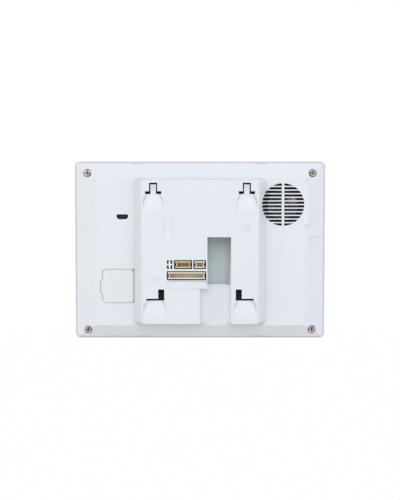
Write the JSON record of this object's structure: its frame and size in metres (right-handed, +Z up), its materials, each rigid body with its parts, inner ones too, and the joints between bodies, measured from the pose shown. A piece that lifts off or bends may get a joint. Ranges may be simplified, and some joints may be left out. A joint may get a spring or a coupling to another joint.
{
  "type": "video intercom monitor",
  "caption": "Wall-mounted indoor video intercom monitor with a flat screen, a key column, a rear cable tray, wiring sockets and a hinged card door.",
  "frame": {"origin": "middle of the flat rear face that rests on the wall bracket", "axes": "+Y is the rear face's outward normal and points at the wall, so the screen faces -Y; +Z is up; +X runs to the right for someone reading the screen"},
  "size_m": [0.189, 0.0273, 0.134],
  "materials": {
    "white_abs": "fine satin moulding texture",
    "door_abs": "satin, slightly warmer than the cover",
    "screen_glass": "polished, printed black border",
    "black_film": "double-sided foam tape",
    "lcd": "switched-off display cell",
    "backlight": "diffuser sheets",
    "zinc_steel": "galvanised sheet",
    "board_green": "solder mask",
    "chip_black": "moulded package",
    "can_metal": "sleeved can",
    "cell_steel": "satin",
    "ivory_nylon": "natural nylon",
    "tan_nylon": "tan nylon",
    "tinned_pin": "tin over brass",
    "port_steel": "bright shell",
    "black_plastic": "glass-filled black",
    "nickel_screw": "nickel plated",
    "ribbon": "flat flexible cable",
    "rubber_black": "soft moulded",
    "cone_film": "dark formed film",
    "magnet": "plated steel cup",
    "key_grey": "satin",
    "light_clear": "clear acrylic",
    "led": "clear lens",
    "gold_contact": "gold plated",
    "lead_wire": "insulated wire"
  },
  "bodies": {
    "monitor": {"rear_cover": "white_abs", "front_bezel": "white_abs", "display_glass": "screen_glass", "glass_tape": "black_film", "slot_films": "black_film", "lcd_back": "zinc_steel", "lcd_backlight": "backlight", "lcd_cell": "lcd", "lcd_ribbon": "ribbon", "lcd_clips": "zinc_steel", "display_connector": "ivory_nylon", "key_board": "board_green", "key_switches": "chip_black", "light_pipes": "light_clear", "indicator_leds": "led", "ribbon_connectors": "ivory_nylon", "key_ribbon": "ribbon", "microphone": "cell_steel", "microphone_boot": "rubber_black", "main_board": "board_green", "processor": "chip_black", "memory_chips": "chip_black", "capacitors": "can_metal", "inductors": "chip_black", "network_transformer": "chip_black", "clock_cell": "cell_steel", "io_board": "board_green", "board_link": "chip_black", "header_thirteen_way": "ivory_nylon", "header_five_way": "tan_nylon", "header_three_way": "ivory_nylon", "pins_thirteen_way": "tinned_pin", "pins_five_way": "tinned_pin", "pins_three_way": "tinned_pin", "usb_shell": "port_steel", "usb_tongue": "black_plastic", "card_socket": "black_plastic", "card_socket_lid": "port_steel", "network_jack": "black_plastic", "jack_contacts": "gold_contact", "speaker_gasket": "black_film", "speaker_basket": "black_plastic", "speaker_surround": "rubber_black", "speaker_magnet": "magnet", "speaker_leads": "lead_wire", "case_screws": "nickel_screw", "board_screws": "nickel_screw", "io_board_screws": "nickel_screw", "key_board_screws": "nickel_screw", "clip_screws": "nickel_screw", "speaker_screws": "nickel_screw"},
    "key_unlock": {"key_unlock": "key_grey"},
    "key_monitor": {"key_monitor": "key_grey"},
    "key_talk": {"key_talk": "key_grey"},
    "key_menu": {"key_menu": "key_grey"},
    "key_alarm": {"key_alarm": "key_grey"},
    "card_door": {"card_door": "door_abs"},
    "speaker_cone": {"speaker_cone": "cone_film"}
  },
  "joints": [
    {"name": "key_unlock_press", "type": "slide", "parent": "monitor", "child": "key_unlock", "axis": [0, 1, 0], "range_m": [0, 0.0005], "stiffness_N_per_m": 2000},
    {"name": "key_monitor_press", "type": "slide", "parent": "monitor", "child": "key_monitor", "axis": [0, 1, 0], "range_m": [0, 0.0005], "stiffness_N_per_m": 2000},
    {"name": "key_talk_press", "type": "slide", "parent": "monitor", "child": "key_talk", "axis": [0, 1, 0], "range_m": [0, 0.0005], "stiffness_N_per_m": 2000},
    {"name": "key_menu_press", "type": "slide", "parent": "monitor", "child": "key_menu", "axis": [0, 1, 0], "range_m": [0, 0.0005], "stiffness_N_per_m": 2000},
    {"name": "key_alarm_press", "type": "slide", "parent": "monitor", "child": "key_alarm", "axis": [0, 1, 0], "range_m": [0, 0.0005], "stiffness_N_per_m": 2000},
    {"name": "card_door_hinge", "type": "hinge", "parent": "monitor", "child": "card_door", "pos_m": [0.0506, -0.0112, -0.02665], "axis": [0, 0, 1], "range_deg": [0, 90]},
    {"name": "speaker_cone_travel", "type": "slide", "parent": "monitor", "child": "speaker_cone", "axis": [0, 1, 0], "range_m": [-0.0003, 0.0003], "stiffness_N_per_m": 1500}
  ]
}
